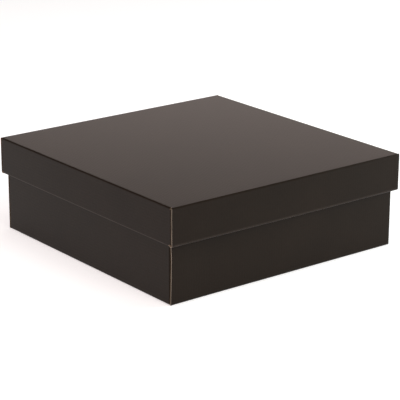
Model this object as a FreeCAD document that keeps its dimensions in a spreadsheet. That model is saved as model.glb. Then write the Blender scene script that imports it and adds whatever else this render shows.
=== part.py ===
import FreeCAD, Part
import math
import os
import Sketcher

# Two-piece gift box: a square base tray and a shallow lid that lifts off it. Each is folded
# from one sheet of fine-flute corrugated board, printed on the outside:
#   - a floor (on the lid, the top panel),
#   - at the front and back, a single wall, with a flap at each end folded into the side,
#   - at the left and right, a rolled double wall: an outer wall, a narrow rim along its free
#     edge, and an inner wall that comes back to the floor and traps the flaps between them.
# The base's inner walls end in tabs that push into slots in the floor.
#
# Every panel between two creases is a separate piece. A fold is a quarter circle whose
# radius is the board's thickness, about the crease on the inside of the fold.
#
# Frame: millimetres, +Z up, origin at the middle of the base's underside. X runs across the
# rolled walls and +X is right; Y runs across the single walls and -Y is the front.

SIZES = [
    ("board", 1.6, "thickness of the board"),
    ("base_width", 300, "base, outside, across the rolled walls"),
    ("base_depth", 300, "base, outside, across the single walls"),
    ("base_height", 103.4, "base, outside, up to the rims that the lid rests on"),
    ("lid_height", 41, "lid, outside, from its free edge to its top"),
    ("lid_clearance", 2.2, "gap between the base's walls and the lid's, each side"),
    ("roll_slack", 0.3, "room to spare beside a flap inside a rolled wall"),
    ("edge_drop", 0.5, "how far a single wall's free edge stays short of the rims"),
    ("panel_clearance", 0.5, "gap between an inner wall's ends and the single walls"),
    ("notch_clearance", 0.2, "gap round the end of a rim, in the single wall's notch"),
    ("foot_taper", 3, "how much an inner wall narrows at each end of its foot"),
    ("foot_rise", 12, "how far up its foot an inner wall is narrowed"),
    ("flap_length", 90, "flap, from the fold to its free end"),
    ("flap_taper", 6, "how much a flap narrows, above and below, at its free end"),
    ("flap_taper_length", 18, "length of a flap's narrowed end"),
    ("tab_width", 40, "tab, along the inner wall"),
    ("tab_taper", 1, "how much a tab narrows at each side of its tip"),
    ("tab_recess", 0.2, "how far a tab's tip stays above the underside"),
    ("tab_spacing", 150, "distance between the middles of one wall's two tabs"),
    ("slot_clearance", 0.4, "gap all round a tab in its slot"),
]

BOARD = "Sizes.board"
FLAP_ROOM = "(Sizes.board + Sizes.roll_slack)"
ROLLED_WALL = "(3 * Sizes.board + Sizes.roll_slack)"

# A tray is modelled with its floor at the bottom. up is -1 where it is used upside down,
# and floor is then the height of its highest face.
BASE = {
    "name": "base",
    "width": "Sizes.base_width",
    "depth": "Sizes.base_depth",
    "height": "Sizes.base_height",
    "floor": "0",
    "up": 1,
}
LID = {
    "name": "lid",
    "width": f"(Sizes.base_width + 2 * ({ROLLED_WALL} + Sizes.lid_clearance))",
    "depth": f"(Sizes.base_depth + 2 * ({BOARD} + Sizes.lid_clearance))",
    "height": "Sizes.lid_height",
    "floor": f"(Sizes.base_height + {BOARD})",
    "up": -1,
}

SIDES = {"right": 1, "left": -1}
ENDS = {"front": -1, "back": 1}

# Half turns that send X, Y and Z to plus or minus themselves.
HALF_TURNS = {
    (1, 1, 1): FreeCAD.Rotation(),
    (1, -1, -1): FreeCAD.Rotation(FreeCAD.Vector(1, 0, 0), 180),
    (-1, 1, -1): FreeCAD.Rotation(FreeCAD.Vector(0, 1, 0), 180),
    (-1, -1, 1): FreeCAD.Rotation(FreeCAD.Vector(0, 0, 1), 180),
}

doc = FreeCAD.newDocument("gift_box")
sheet = doc.addObject("Spreadsheet::Sheet", "Sizes")
for row, (alias, value, meaning) in enumerate(SIZES, start=1):
    sheet.set(f"A{row}", alias)
    sheet.set(f"B{row}", str(value))
    sheet.set(f"C{row}", meaning)
    sheet.setAlias(f"B{row}", alias)
doc.recompute()


def number(expression):
    """The present value of an expression in the sheet's sizes."""
    return float(sheet.evalExpression(expression))


def add_body(name):
    body = doc.addObject("PartDesign::Body", name)
    body.Label = name
    return body


def add_sketch(body, purpose, role, offset="0"):
    """A sketch on one of the body's own origin planes, moved along its normal."""
    sketch = body.newObject("Sketcher::SketchObject", f"{body.Name}_{purpose}")
    plane = next(item for item in body.Origin.OriginFeatures if item.Role == role)
    sketch.AttachmentSupport = [(plane, "")]
    sketch.MapMode = "FlatFace"
    if offset != "0":
        sketch.setExpression("AttachmentOffset.Base.z", offset)
    return sketch


def direction(vector):
    return math.atan2(vector.y, vector.x)


def add_outline(sketch, corners, folds=None):
    """A closed anticlockwise outline. Each corner is two expressions; folds gives the
    centre of each edge that is an arc of the board's thickness, by the edge's number."""
    folds = folds or {}
    first = len(sketch.Geometry)
    points = [FreeCAD.Vector(number(x), number(y), 0) for x, y in corners]
    for index, start in enumerate(points):
        end = points[(index + 1) % len(points)]
        if index in folds:
            centre = FreeCAD.Vector(*[number(value) for value in folds[index]], 0)
            circle = Part.Circle(centre, FreeCAD.Vector(0, 0, 1), number(BOARD))
            edge = Part.ArcOfCircle(circle, direction(start - centre), direction(end - centre))
        else:
            edge = Part.LineSegment(start, end)
        sketch.addGeometry(edge, False)
    for index, corner in enumerate(corners):
        edge = first + index
        following = first + (index + 1) % len(corners)
        sketch.addConstraint(Sketcher.Constraint("Coincident", edge, 2, following, 1))
        for kind, axis, value in zip(("DistanceX", "DistanceY"), (-2, -1), corner):
            if value == "0":
                sketch.addConstraint(Sketcher.Constraint("PointOnObject", edge, 1, axis))
            else:
                bind(sketch, Sketcher.Constraint(kind, -1, 1, edge, 1, number(value)), value)
        if index in folds:
            bind(sketch, Sketcher.Constraint("Radius", edge, number(BOARD)), BOARD)


def bind(sketch, constraint, expression):
    """Add a constraint whose value follows the sheet."""
    index = sketch.addConstraint(constraint)
    sketch.setExpression(f"Constraints[{index}]", expression)


def add_rectangle(sketch, left, bottom, right, top):
    add_outline(sketch, [(left, bottom), (right, bottom), (right, top), (left, top)])


def add_pad(body, sketch, length, symmetric=False):
    pad = body.newObject("PartDesign::Pad", f"{body.Name}_pad")
    pad.Profile = sketch
    pad.SideType = "Symmetric" if symmetric else "One side"
    pad.setExpression("Length", length)
    return pad


def add_through_cut(body, sketch):
    """Cut the sketch's outlines right through the body, both ways from their plane."""
    pocket = body.newObject("PartDesign::Pocket", f"{body.Name}_cut")
    pocket.Profile = sketch
    pocket.Type = "ThroughAll"
    pocket.SideType = "Symmetric"
    return pocket


def place(body, tray, turn):
    """Half-turn a body and stand it on its tray's floor, or hang it from there."""
    body.Placement = FreeCAD.Placement(FreeCAD.Vector(), HALF_TURNS[turn])
    height = tray["floor"]
    if turn[2] != tray["up"]:
        height = f"{tray['floor']} + {tray['up']} * {tray['height']}"
    if height != "0":
        body.setExpression("Placement.Base.z", height)


def place_at_side(body, tray, side):
    """Place a piece that was modelled at the right, and is the same front to back."""
    place(body, tray, (side, side * tray["up"], tray["up"]))


def rolled_wall_faces(tray):
    """X of a right-hand rolled wall's four faces, from the outside in."""
    outside = f"{tray['width']} / 2"
    behind_outer_wall = f"{outside} - {BOARD}"
    behind_flap = f"{behind_outer_wall} - {FLAP_ROOM}"
    inside = f"{outside} - {ROLLED_WALL}"
    return outside, behind_outer_wall, behind_flap, inside


def flap_faces(tray):
    """X of the two faces of a flap, which has half the slack on each side of it."""
    inner = f"{tray['width']} / 2 - 2 * {BOARD} - Sizes.roll_slack / 2"
    return inner, f"{inner} + {BOARD}"


def make_floor(tray, name):
    """The flat panel between the four bottom folds."""
    body = add_body(name)
    half_width = f"({tray['width']} / 2 - {BOARD})"
    half_depth = f"({tray['depth']} / 2 - {BOARD})"
    outline = add_sketch(body, "outline", "XY_Plane")
    add_rectangle(outline, f"-{half_width}", f"-{half_depth}", half_width, half_depth)
    add_pad(body, outline, BOARD)
    place(body, tray, (1, tray["up"], tray["up"]))
    return body


def cut_tab_slots(body, tray):
    """Four slots through the floor, where the inner walls' tabs push in."""
    _, _, behind_flap, inside = rolled_wall_faces(tray)
    near = f"({inside} - Sizes.slot_clearance)"
    far = f"({behind_flap} + Sizes.slot_clearance)"
    half_slot = "(Sizes.tab_width / 2 + Sizes.slot_clearance)"
    slots = add_sketch(body, "slots", "XY_Plane")
    for end in ENDS.values():
        middle = f"{end} * Sizes.tab_spacing / 2"
        low = f"{middle} - {half_slot}"
        high = f"{middle} + {half_slot}"
        add_rectangle(slots, near, low, far, high)
        add_rectangle(slots, f"-{far}", low, f"-{near}", high)
    return add_through_cut(body, slots)


def make_outer_wall(tray, name, side):
    """The outside panel of a rolled wall, from the bottom fold up to the rim."""
    body = add_body(name)
    outside, behind, _, _ = rolled_wall_faces(tray)
    top = f"{tray['height']} - {BOARD}"
    profile = add_sketch(body, "profile", "XZ_Plane")
    corners = [(behind, "0"), (outside, BOARD), (outside, top), (behind, top)]
    add_outline(profile, corners, {0: (behind, BOARD)})
    add_pad(body, profile, tray["depth"], symmetric=True)
    place_at_side(body, tray, side)
    return body


def make_rim(tray, name, side, with_inner_fold):
    """The narrow strip along a rolled wall's free edge, and the fold on its outside."""
    body = add_body(name)
    outside, behind, behind_flap, inside = rolled_wall_faces(tray)
    crease = f"{tray['height']} - {BOARD}"
    folds = {1: (behind, crease)}
    corners = [(behind_flap, crease), (outside, crease), (behind, tray["height"])]
    corners.append((behind_flap, tray["height"]))
    if with_inner_fold:
        corners[0] = (inside, crease)
        folds[3] = (behind_flap, crease)
    profile = add_sketch(body, "profile", "XZ_Plane")
    add_outline(profile, corners, folds)
    add_pad(body, profile, tray["depth"], symmetric=True)
    place_at_side(body, tray, side)
    return body


def make_inner_crease(tray, name, side):
    """The fold between a rim and an inner wall that can swing: it bends with the wall."""
    body = add_body(name)
    _, _, behind_flap, inside = rolled_wall_faces(tray)
    crease = f"{tray['height']} - {BOARD}"
    profile = add_sketch(body, "profile", "XZ_Plane")
    corners = [(behind_flap, tray["height"]), (inside, crease), (behind_flap, crease)]
    add_outline(profile, corners, {0: (behind_flap, crease)})
    add_pad(body, profile, tray["depth"], symmetric=True)
    place_at_side(body, tray, side)
    return body


def make_inner_wall(tray, name, side):
    """The inside panel of a rolled wall, from the crease at the rim back to the floor."""
    body = add_body(name)
    _, _, _, inside = rolled_wall_faces(tray)
    half_top = f"({tray['depth']} / 2 - {BOARD} - Sizes.panel_clearance)"
    half_foot = f"({half_top} - Sizes.foot_taper)"
    shoulder = f"{BOARD} + Sizes.foot_rise"
    crease = f"{tray['height']} - {BOARD}"
    outline = add_sketch(body, "outline", "YZ_Plane", inside)
    add_outline(outline, [
        (f"-{half_foot}", BOARD),
        (half_foot, BOARD),
        (half_top, shoulder),
        (half_top, crease),
        (f"-{half_top}", crease),
        (f"-{half_top}", shoulder),
    ])
    add_pad(body, outline, BOARD)
    place_at_side(body, tray, side)
    return body


def make_tab(tray, name, side, end):
    """A tab on an inner wall's foot, down in its slot in the floor."""
    body = add_body(name)
    _, _, _, inside = rolled_wall_faces(tray)
    middle = f"{end * side} * Sizes.tab_spacing / 2"
    half_root = "Sizes.tab_width / 2"
    half_tip = f"({half_root} - Sizes.tab_taper)"
    outline = add_sketch(body, "outline", "YZ_Plane", inside)
    add_outline(outline, [
        (f"{middle} - {half_tip}", "Sizes.tab_recess"),
        (f"{middle} + {half_tip}", "Sizes.tab_recess"),
        (f"{middle} + {half_root}", BOARD),
        (f"{middle} - {half_root}", BOARD),
    ])
    add_pad(body, outline, BOARD)
    place_at_side(body, tray, side)
    return body


def make_single_wall(tray, name, end):
    """A front or back wall, notched at each end of its free edge for the ends of the rims."""
    body = add_body(name)
    outside = f"-{tray['depth']} / 2"
    behind = f"{outside} + {BOARD}"
    free_edge = f"{tray['height']} - Sizes.edge_drop"
    profile = add_sketch(body, "profile", "YZ_Plane")
    corners = [(outside, BOARD), (behind, "0"), (behind, free_edge), (outside, free_edge)]
    add_outline(profile, corners, {0: (behind, BOARD)})
    fold, _ = flap_faces(tray)
    add_pad(body, profile, f"2 * ({fold})", symmetric=True)

    _, _, _, inside = rolled_wall_faces(tray)
    near = f"({inside} - Sizes.notch_clearance)"
    low = f"{tray['height']} - {BOARD} - Sizes.notch_clearance"
    notches = add_sketch(body, "notches", "XZ_Plane")
    add_rectangle(notches, near, low, f"({fold})", tray["height"])
    add_rectangle(notches, f"-({fold})", low, f"-{near}", tray["height"])
    add_through_cut(body, notches)
    place(body, tray, (-end * tray["up"], -end, tray["up"]))
    return body


def make_flap(tray, name, side, end):
    """A single wall's flap, folded round the corner and trapped in the rolled wall."""
    body = add_body(name)
    inner, outer = flap_faces(tray)
    fold = f"-{tray['depth']} / 2"
    start = f"{fold} + {BOARD}"
    tip = f"{start} + Sizes.flap_length"
    bottom = f"({BOARD} + Sizes.roll_slack / 2)"
    profile = add_sketch(body, "profile", "XY_Plane", bottom)
    corners = [(inner, fold), (outer, start), (outer, tip), (inner, tip)]
    add_outline(profile, corners, {0: (inner, start)})
    add_pad(body, profile, f"{tray['height']} - 2 * {bottom}")

    top = f"{tray['height']} - {bottom}"
    taper_start = f"{tip} - Sizes.flap_taper_length"
    tapers = add_sketch(body, "tapers", "YZ_Plane")
    add_outline(tapers, [(taper_start, bottom), (tip, bottom), (tip, f"{bottom} + Sizes.flap_taper")])
    add_outline(tapers, [(taper_start, top), (tip, f"{top} - Sizes.flap_taper"), (tip, top)])
    add_through_cut(body, tapers)
    place(body, tray, (side, -end, -side * end))
    return body


def make_tray(tray, floor_name, with_tabs):
    """All the panels of the base or of the lid."""
    name = tray["name"]
    floor = make_floor(tray, floor_name)
    bodies = [floor]
    if with_tabs:
        cut_tab_slots(floor, tray)
    for end_name, end in ENDS.items():
        bodies.append(make_single_wall(tray, f"{name}_{end_name}_wall", end))
    for side_name, side in SIDES.items():
        label = f"{name}_{side_name}"
        bodies.append(make_outer_wall(tray, f"{label}_outer_wall", side))
        bodies.append(make_rim(tray, f"{label}_rim", side, with_inner_fold=not with_tabs))
        bodies.append(make_inner_wall(tray, f"{label}_inner_wall", side))
        if with_tabs:
            bodies.append(make_inner_crease(tray, f"{label}_crease", side))
        for end_name, end in ENDS.items():
            bodies.append(make_flap(tray, f"{name}_{end_name}_{side_name}_flap", side, end))
            if with_tabs:
                bodies.append(make_tab(tray, f"{name}_{end_name}_{side_name}_tab", side, end))
    return bodies


panels = make_tray(BASE, "base_floor", with_tabs=True)
panels += make_tray(LID, "lid_top", with_tabs=False)
doc.recompute()

for item in doc.Objects:
    if "Invalid" in item.State or "Error" in item.State:
        raise RuntimeError(f"{item.Label} did not recompute: {item.State}")
for cut in doc.findObjects("PartDesign::Pocket"):
    if cut.Shape.Volume >= cut.BaseFeature.Shape.Volume:
        raise RuntimeError(f"{cut.Label} cuts nothing")
for panel in panels:
    if panel.Shape.isNull() or not panel.Shape.isValid() or len(panel.Shape.Solids) != 1:
        raise RuntimeError(f"{panel.Label} is not one valid solid")

os.makedirs("parts", exist_ok=True)
for panel in panels:
    panel.Shape.exportStep(os.path.join("parts", f"{panel.Label}.step"))
    box = panel.Shape.BoundBox
    print(f"{panel.Label}: {panel.Shape.Volume:.0f} mm3, z {box.ZMin:.2f} to {box.ZMax:.2f}")
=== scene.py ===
"""A two-piece gift box in dark brown corrugated board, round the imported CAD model.

Every CAD panel is replaced by a sheet of corrugated board: printed liner outside, kraft liner
inside, and between them a fluted medium that shows at the cut edges. Folds are rounded, cut
edges are slightly crushed, and the walls bow a little, as they do on a folded box.
"""
import bmesh
import bpy
import math
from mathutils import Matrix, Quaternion, Vector


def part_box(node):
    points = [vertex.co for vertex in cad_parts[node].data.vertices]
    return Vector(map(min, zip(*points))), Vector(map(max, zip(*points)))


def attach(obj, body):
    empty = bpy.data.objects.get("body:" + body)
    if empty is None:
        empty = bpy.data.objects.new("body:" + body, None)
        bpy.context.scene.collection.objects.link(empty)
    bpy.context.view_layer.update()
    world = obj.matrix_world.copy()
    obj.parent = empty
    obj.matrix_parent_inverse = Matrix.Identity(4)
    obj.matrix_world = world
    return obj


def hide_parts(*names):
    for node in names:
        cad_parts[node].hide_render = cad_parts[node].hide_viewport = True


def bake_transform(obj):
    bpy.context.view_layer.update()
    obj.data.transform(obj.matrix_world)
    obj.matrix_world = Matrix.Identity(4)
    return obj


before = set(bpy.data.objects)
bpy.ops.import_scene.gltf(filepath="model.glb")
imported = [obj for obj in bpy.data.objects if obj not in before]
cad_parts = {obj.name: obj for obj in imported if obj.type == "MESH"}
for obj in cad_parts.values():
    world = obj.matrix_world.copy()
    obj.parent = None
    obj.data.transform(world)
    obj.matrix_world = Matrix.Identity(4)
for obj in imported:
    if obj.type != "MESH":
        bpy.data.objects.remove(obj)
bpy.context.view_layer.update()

MM = 0.001

# ---------------------------------------------------------------- sizes from the frame

LID_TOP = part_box("lid_top")
BOARD = LID_TOP[1][2] - LID_TOP[0][2]
BOX_HEIGHT = LID_TOP[1][2]
BASE_HALF_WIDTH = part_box("base_right_outer_wall")[1][0]
BASE_HALF_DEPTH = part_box("base_right_outer_wall")[1][1]

# ---------------------------------------------------------------- how the board is made

LINER = 0.24 * MM
OUTER_LINER = 0.42 * MM       # the printed liner, swollen and frayed where it is cut
EDGE_RECESS = 0.5 * MM        # how far the medium sits back between the liners at a cut edge
EDGE_ROUNDING = 0.3 * MM      # how far the die rounds a cut edge over
CRUSH = 1.1 * MM              # the same along the lid's free edges, which are handled most
FLUTE_PITCH = 3.3 * MM
FLUTE_DEPTH = 5 * MM          # how far the open flutes are modelled in from a cut end
FLUTE_SHEET = 0.15 * MM
GRID = 10 * MM                # spacing of a panel's mesh lines
SUPPORT = 1.5 * MM            # a mesh line this close to each edge keeps the faces flat
CLOSEST_LINES = 0.25          # how near an even mesh line may come to a fixed one, in steps
FLUTE_STEPS = 10              # mesh lines in one wave of the medium
FLUTE_OVERLAP = 0.2 * MM      # how far the modelled medium runs on behind the open flutes
SAME_PLACE = 1e-6             # mesh lines closer than this are one
WELD = 1e-7                   # and so are mesh points closer than this
HARD_EDGE = math.radians(38)  # a sharper turn between two faces stays a hard edge

# The board's section at a panel's edge, from the inner face (0) to the outer face (1): share of
# the thickness, how far a cut edge sits back there as shares of the recess and of the rounding,
# and what shows there.
SECTION = [
    (0.0, 0.0, 0.3, "edge"),
    (0.04, 0.0, 0.0, "edge"),
    (LINER / BOARD, 0.0, 0.0, "edge"),
    (LINER / BOARD, 1.0, 0.0, "core"),
    (0.34, 0.85, 0.0, "core"),
    (0.5, 0.7, 0.0, "core"),
    (0.7, 0.85, 0.0, "core"),
    (1 - OUTER_LINER / BOARD, 1.0, 0.0, "core"),
    (1 - OUTER_LINER / BOARD, 0.0, 0.0, "paper"),
    (0.92, 0.0, 0.08, "paper"),
    (0.94, 0.0, 0.25, "print"),
    (0.97, 0.0, 0.5, "print"),
    (1.0, 0.0, 1.0, "print"),
]

# ---------------------------------------------------------------- how the box is out of true

BOW = 0.9 * MM                # how far the rolled walls bulge, half way along and half way up
SINGLE_WALL_BOW = 0.4         # the single walls' bulge, as a share of that
BOW_FULLNESS = 0.8            # below 1, the bulge spreads further up and down the wall
SPRING = 1.8 * MM             # how far the right wall's cut end stands off at the front corner
SPRING_HEIGHT = 50 * MM       # where on the wall's height it stands off most
SPRING_UP = 16 * MM           # how far up, down and along the wall that dies away
SPRING_DOWN = 40 * MM
SPRING_ALONG = 34 * MM


def out_of_true(point):
    """Where a point of the folded box really is: the walls bow out between the corners."""
    x, y, z = point
    level = max(0.0, min(1.0, z / BOX_HEIGHT))
    swell = math.sin(math.pi * level) ** BOW_FULLNESS
    across_x = max(0.0, 1 - (y / BASE_HALF_DEPTH) ** 2)
    across_y = max(0.0, 1 - (x / BASE_HALF_WIDTH) ** 2)
    bowed_x = x + BOW * swell * across_x * x / BASE_HALF_WIDTH
    bowed_y = y + SINGLE_WALL_BOW * BOW * swell * across_y * y / BASE_HALF_DEPTH
    return Vector((bowed_x, bowed_y, z))


def sprung_end(point):
    """The front end of the base's right outer wall, which stands off the flap behind it."""
    x, y, z = point
    along = math.exp(-((y + BASE_HALF_DEPTH) / SPRING_ALONG) ** 2)
    reach = SPRING_UP if z > SPRING_HEIGHT else SPRING_DOWN
    up = math.exp(-(((z - SPRING_HEIGHT) / reach) ** 2))
    return Vector((x + SPRING * along * up, y, z))


# ---------------------------------------------------------------- materials

WAVE_FACTOR = 20              # the wave texture's sine turns this many radians a unit
RIB_DRIFT = 12.0              # how fast the ribs' distortion changes along a flute


def new_material(name):
    """A material, its node tree and its shader."""
    material = bpy.data.materials.new(name)
    material.use_nodes = True
    tree = material.node_tree
    shader = next(node for node in tree.nodes if node.type == "BSDF_PRINCIPLED")
    return material, tree, shader


def add_node(tree, kind, values=None, **links):
    """A node with its settings, its sockets' values and its incoming links."""
    node = tree.nodes.new(kind)
    for key, value in (values or {}).items():
        if isinstance(key, str) and hasattr(node, key):
            setattr(node, key, value)
        else:
            node.inputs[key].default_value = value
    for key, source in links.items():
        tree.links.new(source, node.inputs[key])
    return node


def add_noise(tree, vector, scale, detail, roughness):
    """Noise from 0 to 1 over the coordinates."""
    values = {"Scale": scale, "Detail": detail, "Roughness": roughness}
    noise = add_node(tree, "ShaderNodeTexNoise", values)
    tree.links.new(vector, noise.inputs["Vector"])
    return noise.outputs["Fac"]


def stretched(tree, vector, factors):
    """Coordinates scaled along each axis, which draws a pattern out into fibres."""
    mapping = add_node(tree, "ShaderNodeMapping", Vector=vector)
    mapping.inputs["Scale"].default_value = factors
    return mapping.outputs["Vector"]


def add_ramp(tree, factor, stops):
    """A ramp between two colours, each given with its position."""
    ramp = tree.nodes.new("ShaderNodeValToRGB")
    for element, (position, color) in zip(ramp.color_ramp.elements, stops):
        element.position = position
        element.color = (*color, 1.0)
    tree.links.new(factor, ramp.inputs["Fac"])
    return ramp.outputs["Color"]


def mix_colors(tree, blend_type, factor, first, second):
    """Two colours mixed; the factor is a number or another node's socket."""
    mix = tree.nodes.new("ShaderNodeMix")
    mix.data_type = "RGBA"
    mix.blend_type = blend_type
    if isinstance(factor, float):
        mix.inputs["Factor"].default_value = factor
    else:
        tree.links.new(factor, mix.inputs["Factor"])
    tree.links.new(first, mix.inputs["A"])
    tree.links.new(second, mix.inputs["B"])
    return mix.outputs["Result"]


def map_range(tree, value, low, high):
    """A value from 0 to 1, spread from low to high."""
    node = add_node(tree, "ShaderNodeMapRange", {"To Min": low, "To Max": high}, Value=value)
    return node.outputs["Result"]


def add_bump(tree, height, depth, below=None):
    """The normal over a relief of this depth, on top of the relief below."""
    bump = add_node(tree, "ShaderNodeBump", {"Strength": 1.0, "Distance": depth}, Height=height)
    if below is not None:
        tree.links.new(below, bump.inputs["Normal"])
    return bump.outputs["Normal"]


def add_ribs(tree, sheet, distortion, detail_scale):
    """The ribs of the flutes, as they show through a liner."""
    across = 2 * math.pi / (WAVE_FACTOR * FLUTE_PITCH)
    period = stretched(tree, sheet, (RIB_DRIFT, across, 1.0))
    ribs = add_node(tree, "ShaderNodeTexWave", {
        "wave_type": "BANDS",
        "bands_direction": "Y",
        "wave_profile": "SIN",
        "Scale": 1.0,
        "Distortion": distortion,
        "Detail": 1.0,
        "Detail Scale": detail_scale,
    }, Vector=period)
    return ribs.outputs["Fac"]


def make_print():
    """Dark brown ink under a satin varnish: faint mottling, paper fibre, the ribs of the
    flutes just showing through the liner, and a painted highlight: paler, patchy print along
    the free edges, where their rounded edges catch light from the floor."""
    material, tree, shader = new_material("brown_print")
    sheet = add_node(tree, "ShaderNodeUVMap", {"uv_map": "sheet"}).outputs["UV"]
    place = tree.nodes.new("ShaderNodeTexCoord").outputs["Object"]
    cloud = add_noise(tree, place, scale=14.0, detail=4.0, roughness=0.55)
    along_grain = stretched(tree, sheet, (260.0, 900.0, 1.0))
    grain = add_noise(tree, along_grain, scale=1.0, detail=3.0, roughness=0.6)
    speckle = add_noise(tree, place, scale=520.0, detail=2.0, roughness=0.5)
    ink = [(0.32, (0.0126, 0.0083, 0.0054)), (0.68, (0.0156, 0.0103, 0.0067))]
    base = add_ramp(tree, cloud, ink)
    specks = add_ramp(tree, grain, [(0.30, (0.86, 0.86, 0.86)), (0.70, (1.14, 1.13, 1.12))])
    color = mix_colors(tree, "MULTIPLY", 1.0, base, specks)

    # A painted highlight: paler, patchy print along the free edges, standing in for light from the
    # floor on their rounded edges.
    edge = add_node(tree, "ShaderNodeUVMap", {"uv_map": "wear"}).outputs["UV"]
    amount = add_node(tree, "ShaderNodeSeparateXYZ", Vector=edge).outputs["X"]
    patchy = add_noise(tree, place, scale=240.0, detail=4.0, roughness=0.6)
    highlight_patches = map_range(tree, patchy, low=0.35, high=1.15)
    painted_highlight = add_node(tree, "ShaderNodeMath", {"operation": "MULTIPLY", "use_clamp": True})
    tree.links.new(amount, painted_highlight.inputs[0])
    tree.links.new(highlight_patches, painted_highlight.inputs[1])
    highlight_color = add_ramp(tree, speckle, [(0.3, (0.032, 0.024, 0.020)), (0.7, (0.046, 0.035, 0.029))])
    color = mix_colors(tree, "MIX", painted_highlight.outputs["Value"], color, highlight_color)
    tree.links.new(color, shader.inputs["Base Color"])

    shader.inputs["Roughness"].default_value = 0.275
    shader.inputs["IOR"].default_value = 1.47
    shader.inputs["Specular IOR Level"].default_value = 0.092

    ribs = add_ribs(tree, sheet, distortion=0.6, detail_scale=0.4)
    normal = add_bump(tree, ribs, depth=0.02 * MM)
    normal = add_bump(tree, speckle, depth=0.04 * MM, below=normal)
    normal = add_bump(tree, grain, depth=0.02 * MM, below=normal)
    tree.links.new(normal, shader.inputs["Normal"])
    return material


def make_kraft():
    """The unprinted inside of the board: warm tan paper with long pale and dark fibres."""
    material, tree, shader = new_material("kraft_liner")
    sheet = add_node(tree, "ShaderNodeUVMap", {"uv_map": "sheet"}).outputs["UV"]
    place = tree.nodes.new("ShaderNodeTexCoord").outputs["Object"]
    cloud = add_noise(tree, place, scale=22.0, detail=4.0, roughness=0.6)
    long_strands = stretched(tree, sheet, (350.0, 2400.0, 1.0))
    fibres = add_noise(tree, long_strands, scale=1.0, detail=4.0, roughness=0.7)
    short_strands = stretched(tree, sheet, (900.0, 1500.0, 1.0))
    flecks = add_noise(tree, short_strands, scale=1.0, detail=2.0, roughness=0.5)
    base = add_ramp(tree, cloud, [(0.3, (0.36, 0.235, 0.130)), (0.7, (0.43, 0.290, 0.168))])
    strands = add_ramp(tree, fibres, [(0.25, (0.74, 0.72, 0.70)), (0.75, (1.22, 1.20, 1.18))])
    dark = add_ramp(tree, flecks, [(0.22, (0.55, 0.50, 0.46)), (0.32, (1.0, 1.0, 1.0))])
    color = mix_colors(tree, "MULTIPLY", 1.0, base, strands)
    tree.links.new(mix_colors(tree, "MULTIPLY", 0.8, color, dark), shader.inputs["Base Color"])
    roughness = map_range(tree, fibres, low=0.78, high=0.94)
    tree.links.new(roughness, shader.inputs["Roughness"])
    shader.inputs["Specular IOR Level"].default_value = 0.3
    ribs = add_ribs(tree, sheet, distortion=0.8, detail_scale=1.0)
    normal = add_bump(tree, ribs, depth=0.03 * MM)
    normal = add_bump(tree, fibres, depth=0.02 * MM, below=normal)
    tree.links.new(normal, shader.inputs["Normal"])
    return material


def make_cut_edge(name, dark, light):
    """Board where the die cut it: greyish kraft, crushed and fuzzy."""
    material, tree, shader = new_material(name)
    place = tree.nodes.new("ShaderNodeTexCoord").outputs["Object"]
    patches = add_noise(tree, place, scale=70.0, detail=3.0, roughness=0.6)
    fuzz = add_noise(tree, place, scale=2600.0, detail=3.0, roughness=0.7)
    base = add_ramp(tree, patches, [(0.3, dark), (0.7, light)])
    shade = add_ramp(tree, fuzz, [(0.25, (0.62, 0.60, 0.58)), (0.75, (1.16, 1.16, 1.16))])
    tree.links.new(mix_colors(tree, "MULTIPLY", 1.0, base, shade), shader.inputs["Base Color"])
    roughness = map_range(tree, fuzz, low=0.86, high=0.98)
    tree.links.new(roughness, shader.inputs["Roughness"])
    shader.inputs["Specular IOR Level"].default_value = 0.2
    tree.links.new(add_bump(tree, fuzz, depth=0.06 * MM), shader.inputs["Normal"])
    return material


BOARD_MATERIALS = {
    "print": make_print(),
    "kraft": make_kraft(),
    "edge": make_cut_edge("cut_edge", (0.26, 0.20, 0.135), (0.38, 0.30, 0.205)),
    "paper": make_cut_edge("liner_edge", (0.50, 0.455, 0.385), (0.64, 0.585, 0.49)),
    # The medium's dark colour is painted shade of the hollow flutes between the liners.
    "core": make_cut_edge("medium_painted_shade", (0.075, 0.055, 0.036), (0.12, 0.088, 0.058)),
}
MATERIAL_INDEX = {name: index for index, name in enumerate(BOARD_MATERIALS)}

# ---------------------------------------------------------------- board


def grid_lines(low, high, extra=(), step=GRID):
    """Mesh lines from low to high: even steps, a support line by each end, and the extra
    lines that a slot, a notch or a taper needs."""
    fixed = [low, low + SUPPORT, high - SUPPORT, high]
    for place in extra:
        fixed += [place - SUPPORT, place, place + SUPPORT]
    fixed = sorted(place for place in fixed if low <= place <= high)
    lines = []
    for place in fixed:
        if not lines or place - lines[-1] > SAME_PLACE:
            lines.append(place)
    count = max(1, round((high - low) / step))
    for index in range(1, count):
        place = low + (high - low) * index / count
        if min(abs(place - line) for line in lines) > CLOSEST_LINES * step:
            lines.append(place)
    return sorted(lines)


def side_offset(side, level):
    """How far a panel reaches past its edge, at a level of the section."""
    share, recess, rounding, _ = SECTION[level]
    if side == "fold":
        return BOARD * math.sqrt(max(0.0, 1 - share * share))
    if side == "butt":
        return 0.0
    if side == "flutes" and recess > 0:
        return -FLUTE_DEPTH
    return -recess * EDGE_RECESS - rounding * (CRUSH if side == "crushed" else EDGE_ROUNDING)


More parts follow.
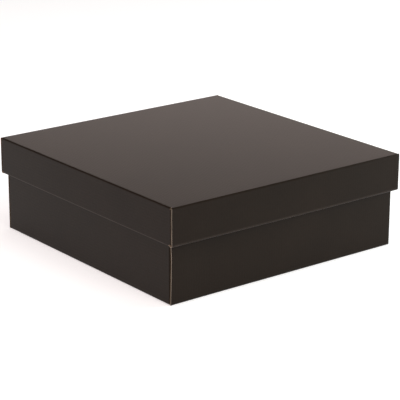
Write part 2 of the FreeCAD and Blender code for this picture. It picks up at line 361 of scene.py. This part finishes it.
class Panel:
    """One panel of board. u and v run along its inner face from an origin, and its printed
    face looks along u x v. sides says how its four edges end: cut, crushed (cut, and rounded
    over more by handling), fold (it carries the quarter-round fold), butt (it meets a
    neighbour's fold) or flutes (cut across them). A mapping per side gives how much painted
    highlight, paler print, lies along that edge, and a list names the cut edges that are
    painted dark as shade."""

    def __init__(self, name, origin, u_axis, v_axis, us, vs, sides, keep=None, taper=None,
                 flutes="u", painted_highlight=None, shaded_ends=()):
        self.name = name
        self.origin = Vector(origin)
        self.axes = (Vector(u_axis), Vector(v_axis), Vector(u_axis).cross(Vector(v_axis)))
        self.us = us
        self.vs = vs
        self.sides = sides
        self.keep = keep or (lambda u, v: True)
        self.taper = taper or (lambda u, v: (u, v))
        self.flutes = flutes
        self.painted_highlight = painted_highlight or {}
        self.shaded_ends = shaded_ends
        self.cells = set()
        for i in range(len(us) - 1):
            for j in range(len(vs) - 1):
                if self.keep((us[i] + us[i + 1]) / 2, (vs[j] + vs[j + 1]) / 2):
                    self.cells.add((i, j))

    def edge_side(self, i, j):
        """The sides that a grid point lies on: a direction and a way of ending for each axis."""
        # The four cells round the point: a and c before it along u, a and b before it along v.
        a, b = (i - 1, j - 1) in self.cells, (i, j - 1) in self.cells
        c, d = (i - 1, j) in self.cells, (i, j) in self.cells
        step_u = int((a and not b) or (c and not d)) - int((b and not a) or (d and not c))
        step_v = int((a and not c) or (b and not d)) - int((c and not a) or (d and not b))
        side_u = {0: self.sides["-u"], len(self.us) - 1: self.sides["+u"]}.get(i, "cut")
        side_v = {0: self.sides["-v"], len(self.vs) - 1: self.sides["+v"]}.get(j, "cut")
        return (step_u, side_u), (step_v, side_v)

    def place(self, u, v, n):
        """The point at u, v on the panel, a height n above its inner face."""
        u, v = self.taper(u, v)
        x_axis, y_axis, n_axis = self.axes
        return self.origin + u * x_axis + v * y_axis + n * n_axis

    def point(self, i, j, level):
        """A grid point at a level of the section."""
        (step_u, side_u), (step_v, side_v) = self.edge_side(i, j)
        u = self.us[i] + step_u * side_offset(side_u, level)
        v = self.vs[j] + step_v * side_offset(side_v, level)
        return self.place(u, v, SECTION[level][0] * BOARD)

    def wear(self, i, j):
        """How much painted highlight, paler print, lies at a grid point, from 0 to 1."""
        last_u, last_v = len(self.us) - 1, len(self.vs) - 1
        on_side = {"-v": j == 0, "+v": j == last_v, "-u": i == 0, "+u": i == last_u}
        return max((amount for side, amount in self.painted_highlight.items() if on_side[side]), default=0.0)

    def is_painted_shade(self, i, j):
        """Whether a cell lies along an edge that is painted dark as shade."""
        last_u, last_v = len(self.us) - 2, len(self.vs) - 2
        on_side = {"-v": j == 0, "+v": j == last_v, "-u": i == 0, "+u": i == last_u}
        return any(on_side[side] for side in self.shaded_ends)

    def sheet_place(self, i, j):
        """Where a grid point lies on the flat sheet, with the flutes along the first axis."""
        u, v = self.us[i], self.vs[j]
        return (u, v) if self.flutes == "u" else (v, u)

    def boundary(self):
        """Each outside edge of a cell, as two grid points in order round the panel, with the
        side of the panel it lies on."""
        for i, j in sorted(self.cells):
            last_u, last_v = len(self.us) - 2, len(self.vs) - 2
            if (i, j - 1) not in self.cells:
                yield (i, j), (i + 1, j), "-v" if j == 0 else None
            if (i + 1, j) not in self.cells:
                yield (i + 1, j), (i + 1, j + 1), "+u" if i == last_u else None
            if (i, j + 1) not in self.cells:
                yield (i + 1, j + 1), (i, j + 1), "+v" if j == last_v else None
            if (i - 1, j) not in self.cells:
                yield (i, j + 1), (i, j), "-u" if i == 0 else None

    def build(self, bm, uv_layer, edge_highlight_layer):
        """Both faces of the panel, and its section all round."""
        verts = {}
        top = len(SECTION) - 1

        def vert(i, j, level):
            key = (i, j, level)
            if key not in verts:
                verts[key] = bm.verts.new(self.point(i, j, level))
            return verts[key]

        def face(corners, material):
            made = bm.faces.new([vert(i, j, level) for i, j, level in corners])
            made.material_index = MATERIAL_INDEX[material]
            for loop, (i, j, _) in zip(made.loops, corners):
                loop[uv_layer].uv = self.sheet_place(i, j)
                loop[edge_highlight_layer].uv = (self.wear(i, j), 0.0)

        for i, j in sorted(self.cells):
            ring = [(i, j), (i + 1, j), (i + 1, j + 1), (i, j + 1)]
            face([(*corner, top) for corner in ring], "print")
            # Along an edge painted dark as shade, the inner face takes the dark medium's colour
            # too.
            inside = "core" if self.is_painted_shade(i, j) else "kraft"
            face([(*corner, 0) for corner in reversed(ring)], inside)
        for start, end, side in self.boundary():
            for level in range(top):
                material = SECTION[level + 1][3]
                # An edge painted dark as shade takes the dark medium's colour through its whole
                # section.
                if side in self.shaded_ends:
                    material = "core"
                if side is not None and self.sides[side] == "fold":
                    material = "print"
                above = level + 1
                corners = [(*start, level), (*end, level), (*end, above), (*start, above)]
                face(corners, material)


def add_flute_strip(bm, uv_layer, panel, side):
    """The wavy medium between the liners, behind one cut end. It is a thin closed strip."""
    at_u = side in ("-u", "+u")
    outward = 1 if side[0] == "+" else -1
    lines, edges = (panel.vs, panel.us) if at_u else (panel.us, panel.vs)
    edge = edges[-1] if outward > 0 else edges[0]
    low, high = lines[0] + 2 * EDGE_RECESS, lines[-1] - 2 * EDGE_RECESS
    steps = round((high - low) / (FLUTE_PITCH / FLUTE_STEPS))
    swing = BOARD / 2 - LINER - FLUTE_SHEET / 2
    near = edge - outward * EDGE_RECESS
    far = edge - outward * (FLUTE_DEPTH + FLUTE_OVERLAP)
    rows = []
    for index in range(steps + 1):
        along = low + (high - low) * index / steps
        middle = BOARD / 2 + swing * math.sin(2 * math.pi * along / FLUTE_PITCH)
        row = []
        for deep, above in ((near, -1), (near, 1), (far, 1), (far, -1)):
            u, v = (deep, along) if at_u else (along, deep)
            height = middle + above * FLUTE_SHEET / 2
            row.append(bm.verts.new(panel.place(u, v, height)))
        rows.append(row)

    def face(corners):
        made = bm.faces.new(corners)
        made.material_index = MATERIAL_INDEX["edge"]
        for loop in made.loops:
            loop[uv_layer].uv = (loop.vert.co.x, loop.vert.co.y)

    for first, second in zip(rows, rows[1:]):
        for k in range(4):
            following = (k + 1) % 4
            face([first[k], first[following], second[following], second[k]])
    face(list(reversed(rows[0])))
    face(rows[-1])


def finish_piece(name, bm, node, body, deform=()):
    """Bend the mesh out of true, and make it a piece that stands for its CAD node."""
    bmesh.ops.remove_doubles(bm, verts=bm.verts, dist=WELD)
    bmesh.ops.recalc_face_normals(bm, faces=bm.faces)
    for vertex in bm.verts:
        for move in (*deform, out_of_true):
            vertex.co = move(vertex.co)
    bm.normal_update()
    for made in bm.faces:
        made.smooth = True
    for edge in bm.edges:
        edge.smooth = len(edge.link_faces) == 2 and edge.calc_face_angle() < HARD_EDGE
    mesh = bpy.data.meshes.new(name)
    bm.to_mesh(mesh)
    bm.free()
    for material in BOARD_MATERIALS.values():
        mesh.materials.append(material)
    piece = bpy.data.objects.new(name, mesh)
    bpy.context.scene.collection.objects.link(piece)
    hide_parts(node)
    if body is not None:
        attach(piece, body)
    return piece


def board_piece(panel, node, body, deform=()):
    """The piece for one panel, with its open flutes."""
    bm = bmesh.new()
    uv_layer = bm.loops.layers.uv.new("sheet")
    edge_highlight_layer = bm.loops.layers.uv.new("wear")
    panel.build(bm, uv_layer, edge_highlight_layer)
    for side, ending in panel.sides.items():
        if ending == "flutes":
            add_flute_strip(bm, uv_layer, panel, side)
    finish_piece(panel.name, bm, node, body, deform)


# ---------------------------------------------------------------- panels of the two trays

UP = Vector((0, 0, 1))
X_AXIS = Vector((1, 0, 0))
Y_AXIS = Vector((0, 1, 0))
TRAYS = {"base": 1, "lid": -1}      # -1: this tray is used upside down
SIDES = {"right": 1, "left": -1}
ENDS = {"front": -1, "back": 1}

TABS = [f"base_{end}_{side}_tab" for end in ENDS for side in SIDES]

SLOT_CLEARANCE = 0.4 * MM     # round a tab in the floor, on all four sides
NOTCH_CLEARANCE = 0.2 * MM    # between a single wall's notch and the rim's end
FOOT_TAPER = 3 * MM           # how much narrower an inner wall's foot is, at each end
FOOT_RISE = 12 * MM           # and how far up that starts
FLAP_TAPER = 6 * MM           # how much narrower a flap's tip is, at each edge
FLAP_TAPER_LENGTH = 18 * MM
TAB_TAPER = 1 * MM            # how much narrower a tab's tip is, at each side
SLOT_ROOM = Vector((SLOT_CLEARANCE, SLOT_CLEARANCE, 0))

ROLL_HIGHLIGHT = 0.8               # how much painted highlight, paler print, lies along a rolled edge
CUT_EDGE_HIGHLIGHT = 1.0               # the same along a single wall's cut edge


def upright(up, bottom, top):
    """How a wall's lower and upper edges end, given its floor's and its free edge's way."""
    return {"-v": bottom, "+v": top} if up > 0 else {"-v": top, "+v": bottom}


def fold_first(up, low, high):
    """A wall's height without the fold at its floor."""
    return (low + BOARD, high) if up > 0 else (low, high - BOARD)


def make_floor(node, up, tabs=()):
    """The flat panel between the folds, printed on its outside, with a slot for each tab."""
    low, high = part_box(node)
    openings = []
    for tab in tabs:
        near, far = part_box(tab)
        openings.append((near - SLOT_ROOM, far + SLOT_ROOM))

    def keep(u, v):
        y = -up * v
        return not any(near.x < u < far.x and near.y < y < far.y for near, far in openings)

    us = grid_lines(low[0], high[0], [corner.x for opening in openings for corner in opening])
    vs = grid_lines(low[1], high[1], [-up * corner.y for opening in openings for corner in opening])
    sides = {"-u": "butt", "+u": "butt", "-v": "butt", "+v": "butt"}
    origin = (0, 0, high[2] if up > 0 else low[2])
    return Panel(f"{node}_board", origin, X_AXIS, -up * Y_AXIS, us, vs, sides, keep)


def make_outer_wall(node, side, up):
    """A rolled side's outside panel, with the fold that joins it to the floor."""
    low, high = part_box(node)
    bottom, top = fold_first(up, low[2], high[2])
    sides = {"-u": "cut", "+u": "cut", **upright(up, "fold", "butt")}
    origin = (low[0] if side > 0 else high[0], 0, 0)
    us = grid_lines(low[1], high[1])
    vs = grid_lines(bottom, top)
    painted_highlight = {"+v" if up > 0 else "-v": ROLL_HIGHLIGHT}
    # The left walls' front cut ends are painted dark, as shade at the front corner.
    shaded_ends = () if side > 0 else ("+u",)     # the left walls' front ends only
    return Panel(f"{node}_board", origin, side * Y_AXIS, UP, us, vs, sides, flutes="v",
                 painted_highlight=painted_highlight, shaded_ends=shaded_ends)


def make_rim(node, side, up):
    """The narrow strip along a rolled side's free edge. The lid's carries both its folds."""
    low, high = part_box(node)
    nearest, furthest = sorted((abs(low[0]), abs(high[0])))
    has_inner_fold = up < 0
    start = nearest + BOARD if has_inner_fold else nearest
    inner = "fold" if has_inner_fold else "butt"
    sides = {"-u": "cut", "+u": "cut", "-v": inner, "+v": "fold"}
    origin = (0, 0, low[2] if up > 0 else high[2])
    us = grid_lines(low[1], high[1])
    vs = grid_lines(start, furthest - BOARD)
    painted_highlight = {"+v": ROLL_HIGHLIGHT}
    return Panel(f"{node}_board", origin, -up * side * Y_AXIS, side * X_AXIS, us, vs, sides,
                 flutes="v", painted_highlight=painted_highlight)


def make_inner_wall(node, side, up):
    """A rolled side's inside panel. Its printed face looks into the box."""
    low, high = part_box(node)
    foot = low[2] if up > 0 else high[2]
    sides = {"-u": "cut", "+u": "cut", **upright(up, "flutes", "butt")}
    half = high[1]

    def taper(u, v):
        narrowed = FOOT_TAPER * max(0.0, 1 - abs(v - foot) / FOOT_RISE)
        return u * (1 - narrowed / half), v

    origin = (high[0] if side > 0 else low[0], 0, 0)
    us = grid_lines(low[1], high[1])
    vs = grid_lines(low[2], high[2], [foot + up * FOOT_RISE])
    return Panel(f"{node}_board", origin, -side * Y_AXIS, UP, us, vs, sides, taper=taper,
                 flutes="v")


def make_tab(node, side):
    """A tab on an inner wall's foot."""
    low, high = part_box(node)
    middle = -side * (low[1] + high[1]) / 2
    half = (high[1] - low[1]) / 2

    def taper(u, v):
        narrowed = TAB_TAPER * (high[2] - v) / (high[2] - low[2])
        return middle + (u - middle) * (1 - narrowed / half), v

    sides = {"-u": "cut", "+u": "cut", "-v": "cut", "+v": "butt"}
    origin = (high[0] if side > 0 else low[0], 0, 0)
    us = grid_lines(middle - half, middle + half)
    vs = grid_lines(low[2], high[2])
    return Panel(f"{node}_board", origin, -side * Y_AXIS, UP, us, vs, sides, taper=taper,
                 flutes="v")


def make_single_wall(node, end, up, rim, inner_wall):
    """A front or back wall, notched where the ends of the rims show."""
    low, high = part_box(node)
    bottom, top = fold_first(up, low[2], high[2])
    rim_low, rim_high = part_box(rim)
    notch_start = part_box(inner_wall)[0][0] - NOTCH_CLEARANCE
    notch_level = rim_low[2] - NOTCH_CLEARANCE if up > 0 else rim_high[2] + NOTCH_CLEARANCE

    def keep(u, v):
        return abs(u) < notch_start or up * v < up * notch_level

    sides = {"-u": "butt", "+u": "butt", **upright(up, "fold", "crushed")}
    origin = (0, high[1] if end < 0 else low[1], 0)
    us = grid_lines(low[0], high[0], [-notch_start, notch_start])
    vs = grid_lines(bottom, top, [notch_level])
    painted_highlight = {"+v" if up > 0 else "-v": CUT_EDGE_HIGHLIGHT}
    return Panel(f"{node}_board", origin, -end * X_AXIS, UP, us, vs, sides, keep, painted_highlight=painted_highlight)


def make_flap(node, side, end):
    """A single wall's flap, folded round the corner. Its printed face looks outwards."""
    low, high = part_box(node)
    near_fold = end * BOARD
    y_low, y_high = (low[1] - near_fold, high[1]) if end < 0 else (low[1], high[1] - near_fold)
    tip = side * (y_high if end < 0 else y_low)
    half = (high[2] - low[2]) / 2
    middle = (high[2] + low[2]) / 2

    def taper(u, v):
        narrowed = FLAP_TAPER * max(0.0, 1 - abs(u - tip) / FLAP_TAPER_LENGTH)
        return u, middle + (v - middle) * (1 - narrowed / half)

    start, stop = sorted((side * y_low, side * y_high))
    folded_first = tip > start + BOARD
    sides = {"-v": "cut", "+v": "cut"}
    sides["-u"], sides["+u"] = ("fold", "flutes") if folded_first else ("flutes", "fold")
    origin = (low[0] if side > 0 else high[0], 0, 0)
    taper_start = tip - FLAP_TAPER_LENGTH if folded_first else tip + FLAP_TAPER_LENGTH
    us = grid_lines(start, stop, [taper_start])
    vs = grid_lines(low[2], high[2])
    return Panel(f"{node}_board", origin, side * Y_AXIS, UP, us, vs, sides, taper=taper)


def crease_piece(node, side):
    """The quarter-round fold between a rim and an inner wall."""
    low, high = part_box(node)
    axis = (side * min(abs(low[0]), abs(high[0])) + side * BOARD, low[2])
    profile = [axis]
    for level in range(len(SECTION)):
        if level and SECTION[level][0] == SECTION[level - 1][0]:
            continue
        out = side_offset("fold", level)
        profile.append((axis[0] - side * out, axis[1] + SECTION[level][0] * BOARD))
    bm = bmesh.new()
    uv_layer = bm.loops.layers.uv.new("sheet")
    rows = []
    for y in grid_lines(low[1], high[1]):
        rows.append([bm.verts.new((x, y, z)) for x, z in profile])

    def face(corners, material):
        made = bm.faces.new(corners)
        made.material_index = MATERIAL_INDEX[material]
        for loop in made.loops:
            loop[uv_layer].uv = (loop.vert.co.z, loop.vert.co.y)

    count = len(profile)
    for first, second in zip(rows, rows[1:]):
        for k in range(count):
            following = (k + 1) % count
            material = "edge" if k in (0, count - 1) else "print"
            face([first[k], first[following], second[following], second[k]], material)
    face(list(reversed(rows[0])), "edge")
    face(rows[-1], "edge")
    piece = finish_piece(f"{node}_board", bm, node, None)
    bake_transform(piece)


board_piece(make_floor("base_floor", 1, TABS), "base_floor", "base")
board_piece(make_floor("lid_top", -1), "lid_top", "lid")
for tray, up in TRAYS.items():
    for end_name, end in ENDS.items():
        node = f"{tray}_{end_name}_wall"
        panel = make_single_wall(node, end, up, f"{tray}_right_rim", f"{tray}_right_inner_wall")
        board_piece(panel, node, tray)
    for side_name, side in SIDES.items():
        inner_body = f"{side_name}_inner_wall" if tray == "base" else "lid"
        node = f"{tray}_{side_name}_outer_wall"
        bends = (sprung_end,) if node == "base_right_outer_wall" else ()
        board_piece(make_outer_wall(node, side, up), node, tray, bends)
        node = f"{tray}_{side_name}_rim"
        board_piece(make_rim(node, side, up), node, tray)
        node = f"{tray}_{side_name}_inner_wall"
        board_piece(make_inner_wall(node, side, up), node, inner_body)
        for end_name, end in ENDS.items():
            node = f"{tray}_{end_name}_{side_name}_flap"
            board_piece(make_flap(node, side, end), node, tray)
        if tray == "base":
            crease_piece(f"base_{side_name}_crease", side)
            for end_name in ENDS:
                node = f"base_{end_name}_{side_name}_tab"
                board_piece(make_tab(node, side), node, inner_body)

# ---------------------------------------------------------------- floor, light and camera

FLOOR_SIZE = 12.0             # wide enough that its edge is far behind the box
FLOOR_GAP = 0.2 * MM          # the floor is this far below the box, so that their faces don't meet
FLOOR_GLOW = 0.45             # it glows a little, for a white surround without hard light

# The camera, fitted to the outline of the box in the photo.
CAMERA_AZIMUTH = math.radians(51.872)
CAMERA_ELEVATION = math.radians(18.163)
CAMERA_ROLL = math.radians(0.226)
CAMERA_DISTANCE = 1.9669
CAMERA_TARGET = Vector((-0.0403, 0.0359, 0.0245))
CAMERA_LENS = 155.69
CAMERA_SENSOR = 36.0

ROOM_COLOR = (1.0, 0.99, 0.98, 1.0)
ROOM_STRENGTH = 0.22
# Each soft light: its name, its place, what it points at, its size, its power in watts and its
# colour.
SOFTBOXES = [
    ("softbox_above", (0.0, 0.0, 2.2), (0, 0, 0), (2.4, 2.4), 22, (1.0, 1.0, 1.0)),
    ("softbox_back", (-2.2, 3.1, 0.7), (0, 0, 0.1), (4.0, 1.2), 17.8, (1.0, 0.82, 0.76)),
    ("softbox_right", (0.55, 1.3, 0.5), (0.1, 0.1, 0.05), (0.7, 0.7), 14, (0.89, 1.0, 0.99)),
    ("softbox_front_left", (0.58, -1.89, 1.6), (0, 0, 0.05), (1.3, 1.2), 20, (1.0, 0.66, 0.64)),
    ("softbox_front_right", (1.98, -0.1, 1.6), (0, 0, 0.05), (1.3, 1.2), 15, (0.95, 1.0, 0.94)),
]


def make_floor_material():
    """A matt white floor."""
    material, tree, shader = new_material("pale_floor")
    place = tree.nodes.new("ShaderNodeTexCoord").outputs["Object"]
    cloud = add_noise(tree, place, scale=3.0, detail=2.0, roughness=0.5)
    color = add_ramp(tree, cloud, [(0.3, (0.79, 0.79, 0.79)), (0.7, (0.81, 0.81, 0.81))])
    tree.links.new(color, shader.inputs["Base Color"])
    shader.inputs["Roughness"].default_value = 0.9
    shader.inputs["Specular IOR Level"].default_value = 0.1
    shader.inputs["Emission Color"].default_value = (1.0, 1.0, 1.0, 1.0)
    shader.inputs["Emission Strength"].default_value = FLOOR_GLOW
    return material


def make_stage():
    """The floor that the box stands on."""
    mesh = bpy.data.meshes.new("floor")
    half = FLOOR_SIZE / 2
    corners = [(-half, -half, 0), (half, -half, 0), (half, half, 0), (-half, half, 0)]
    mesh.from_pydata(corners, [], [(0, 1, 2, 3)])
    mesh.materials.append(make_floor_material())
    floor = bpy.data.objects.new("floor", mesh)
    bpy.context.scene.collection.objects.link(floor)
    floor.location.z = -FLOOR_GAP


def add_area_light(name, place, target, size, power, color):
    """One soft light, out of the camera's sight."""
    light = bpy.data.lights.new(name, "AREA")
    light.shape = "RECTANGLE"
    light.size, light.size_y = size
    light.energy = power
    light.color = color
    lamp = bpy.data.objects.new(name, light)
    lamp.location = place
    lamp.rotation_euler = (Vector(target) - Vector(place)).to_track_quat("-Z", "Y").to_euler()
    lamp.visible_camera = False
    bpy.context.scene.collection.objects.link(lamp)


def make_lights():
    """The room's even light and the soft lights."""
    world = bpy.data.worlds.new("studio")
    world.use_nodes = True
    background = next(node for node in world.node_tree.nodes if node.type == "BACKGROUND")
    background.inputs["Color"].default_value = ROOM_COLOR
    background.inputs["Strength"].default_value = ROOM_STRENGTH
    bpy.context.scene.world = world
    for softbox in SOFTBOXES:
        add_area_light(*softbox)


def make_camera():
    """The camera, at the angles and distance from its target given above."""
    towards = Vector((
        math.sin(CAMERA_AZIMUTH) * math.cos(CAMERA_ELEVATION),
        -math.cos(CAMERA_AZIMUTH) * math.cos(CAMERA_ELEVATION),
        math.sin(CAMERA_ELEVATION),
    ))
    lens = bpy.data.cameras.new("camera")
    lens.lens = CAMERA_LENS
    lens.sensor_width = CAMERA_SENSOR
    camera = bpy.data.objects.new("camera", lens)
    camera.location = CAMERA_TARGET + CAMERA_DISTANCE * towards
    level = towards.to_track_quat("Z", "Y")
    camera.rotation_euler = (level @ Quaternion((0, 0, 1), CAMERA_ROLL)).to_euler()
    bpy.context.scene.collection.objects.link(camera)
    bpy.context.scene.camera = camera


make_stage()
make_lights()
make_camera()
bpy.context.scene.view_settings.view_transform = "Standard"
